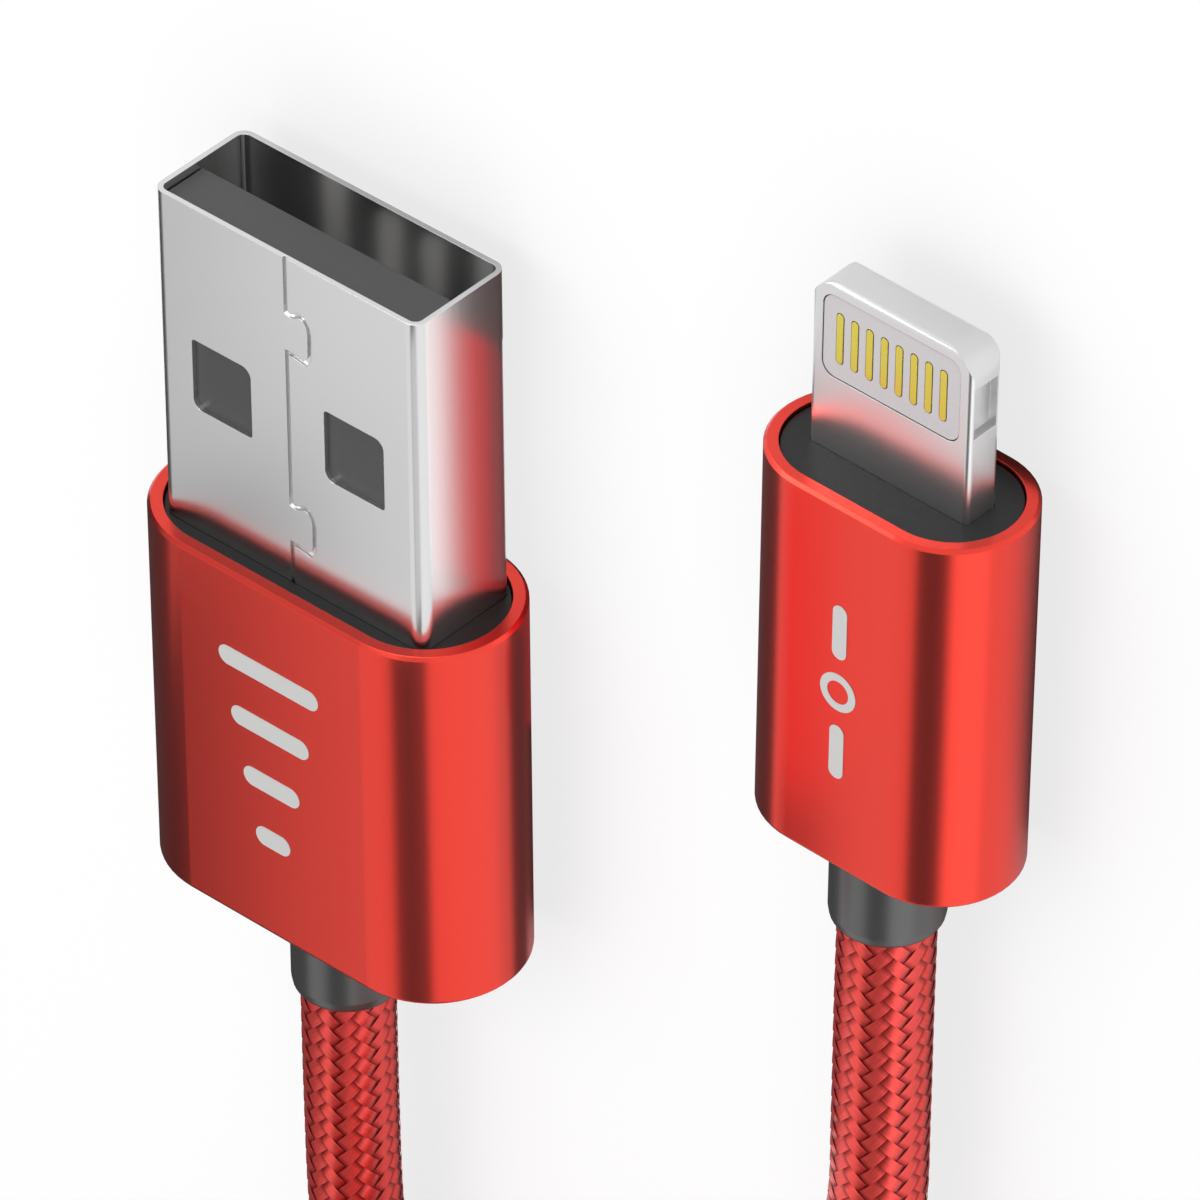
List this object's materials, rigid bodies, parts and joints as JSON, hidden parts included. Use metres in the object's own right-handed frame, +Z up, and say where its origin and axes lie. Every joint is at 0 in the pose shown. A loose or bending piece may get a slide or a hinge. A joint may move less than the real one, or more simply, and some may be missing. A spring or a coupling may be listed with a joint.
{
  "type": "charging cable",
  "caption": "Charging cable with a flat USB-A plug at one end and a slim reversible plug at the other, and its round braided cord wound into a coil.",
  "frame": {"origin": "centre of the footprint of the two plugs on the table, without the cord", "axes": "+X to the right, from the USB-A plug to the slim plug; +Y from the cord towards the plugs' tips; +Z up, out of the plugs' wide faces"},
  "size_m": [0.048, 0.1038, 0.0154],
  "materials": {
    "shell_steel": "bright nickel-plated folded steel, brushed lengthwise",
    "tab_steel": "bright nickel-plated steel with a fine satin polish",
    "dark_plastic": "dark grey moulded plastic, satin",
    "strain_relief": "dark grey flexible moulding, satin",
    "gold_contact": "gold-plated contact",
    "red_anodised": "red anodised aluminium, fine satin",
    "inner_mould": "off-white polyethylene inner mould, hidden",
    "wire_red": "red wire insulation",
    "wire_white": "white wire insulation",
    "wire_green": "green wire insulation",
    "wire_black": "black wire insulation",
    "red_braid": "red polyester braid over a soft jacket, 2/2 woven with a slight sheen",
    "carrier_plastic": "light grey moulded contact carrier",
    "circuit_board": "green solder mask",
    "chip": "black chip package",
    "capacitor": "tan ceramic with tinned ends"
  },
  "bodies": {
    "root": {"usb_shell": "shell_steel", "usb_tongue": "dark_plastic", "usb_contact_power": "gold_contact", "usb_contact_data_minus": "gold_contact", "usb_contact_data_plus": "gold_contact", "usb_contact_ground": "gold_contact", "usb_front_insert": "dark_plastic", "usb_housing": "red_anodised", "usb_inner_mould": "inner_mould", "usb_strain_relief": "strain_relief", "usb_wire_power": "wire_red", "usb_wire_data_minus": "wire_white", "usb_wire_data_plus": "wire_green", "usb_wire_ground": "wire_black", "usb_jacket_end": "red_braid", "slim_tab": "tab_steel", "slim_contact_carrier": "carrier_plastic", "slim_contacts_top": "gold_contact", "slim_contacts_bottom": "gold_contact", "slim_circuit_board": "circuit_board", "slim_controller_chip": "chip", "slim_capacitors": "capacitor", "slim_shield_can": "tab_steel", "slim_front_insert": "dark_plastic", "slim_housing": "red_anodised", "slim_inner_mould": "inner_mould", "slim_strain_relief": "strain_relief", "slim_wire_power": "wire_red", "slim_wire_data_minus": "wire_white", "slim_wire_data_plus": "wire_green", "slim_wire_ground": "wire_black", "slim_jacket_end": "red_braid", "cord_usb_stretch": "red_braid", "cord_coil": "red_braid", "cord_slim_stretch": "red_braid"}
  },
  "joints": []
}
